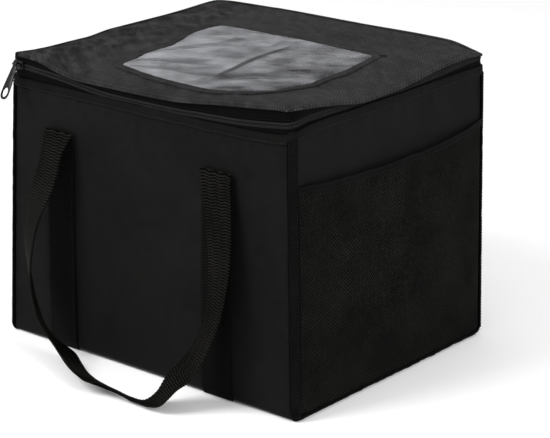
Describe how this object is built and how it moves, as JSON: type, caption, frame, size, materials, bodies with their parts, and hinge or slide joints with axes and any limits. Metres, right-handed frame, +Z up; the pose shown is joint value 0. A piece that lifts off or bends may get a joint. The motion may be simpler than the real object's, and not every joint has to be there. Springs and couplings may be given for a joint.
{
  "type": "insulated food delivery bag",
  "caption": "Soft insulated box bag with a zipped flip-back lid, a clear lid window, webbing carry handles and a mesh side pocket.",
  "frame": {"origin": "middle of the underside of the base panel, on the floor", "axes": "+X along the long front face towards the mesh pocket side, +Y towards the lid's hinge edge, +Z up; the front face looks to -Y"},
  "size_m": [0.3877, 0.4872, 0.3053],
  "materials": {
    "shell_fabric": "black woven polyester with a fine twill grain, matte",
    "lid_fabric": "dark grey ripstop polyester, matte with a slight sheen",
    "binding": "black folded binding tape, ribbed",
    "webbing": "black polypropylene webbing, ribbed",
    "mesh_net": "black knitted mesh",
    "foam": "white closed-cell foam",
    "liner": "light grey heat-sealed vinyl",
    "base_board": "black corrugated board",
    "window_film": "clear soft vinyl film over a pale sheet, glossy",
    "window_backing": "pale grey film",
    "zip_tape": "black woven zip tape",
    "zip_coil": "black nylon coil",
    "zip_metal": "black lacquered zinc alloy, semi-gloss"
  },
  "bodies": {
    "bag": {"base_panel": "shell_fabric", "front_panel": "shell_fabric", "back_panel": "shell_fabric", "right_side_panel": "shell_fabric", "left_side_panel": "shell_fabric", "right_edge_binding": "binding", "left_edge_binding": "binding", "rim_binding": "binding", "base_board": "base_board", "foam_base": "foam", "foam_front": "foam", "foam_back": "foam", "foam_right": "foam", "foam_left": "foam", "liner_tub": "liner", "mesh_pocket_net": "mesh_net", "mesh_pocket_hem": "binding", "front_webbing_left": "webbing", "front_webbing_right": "webbing", "back_webbing_left": "webbing", "back_webbing_right": "webbing", "zipper_tape_body": "zip_tape", "zipper_coil_body": "zip_coil", "zipper_stop_body_left": "zip_metal", "zipper_stop_body_right": "zip_metal", "lid_hinge_strip": "shell_fabric"},
    "lid": {"lid_liner": "liner", "lid_foam": "foam", "lid_window_backing": "window_backing", "lid_top_panel": "lid_fabric", "lid_window_film": "window_film", "lid_window_binding": "binding", "lid_boxing_strip": "lid_fabric", "lid_edge_binding": "binding", "zipper_coil_lid": "zip_coil", "zipper_tape_lid": "zip_tape", "zipper_stop_lid_left": "zip_metal", "zipper_stop_lid_right": "zip_metal"},
    "front_handle": {"front_handle_strap": "webbing"},
    "back_handle": {"back_handle_strap": "webbing"},
    "slider": {"zipper_slider": "zip_metal"},
    "pull": {"zipper_pull": "zip_metal"}
  },
  "joints": [
    {"name": "lid_hinge", "type": "hinge", "parent": "bag", "child": "lid", "pos_m": [0, 0.1555, 0.3026], "axis": [-1, 0, 0], "range_deg": [0, 240]},
    {"name": "front_handle_swing", "type": "hinge", "parent": "bag", "child": "front_handle", "pos_m": [0, -0.16, 0.229], "axis": [-1, 0, 0], "range_deg": [0, 140]},
    {"name": "back_handle_swing", "type": "hinge", "parent": "bag", "child": "back_handle", "pos_m": [0, 0.16, 0.229], "axis": [-1, 0, 0], "range_deg": [-140, 0]},
    {"name": "zip_slide", "type": "slide", "parent": "bag", "child": "slider", "axis": [1, 0, 0], "range_m": [0, 0.336]},
    {"name": "pull_swing", "type": "hinge", "parent": "slider", "child": "pull", "pos_m": [-0.168, -0.1624, 0.2892], "axis": [-1, 0, 0], "range_deg": [0, 135]}
  ]
}
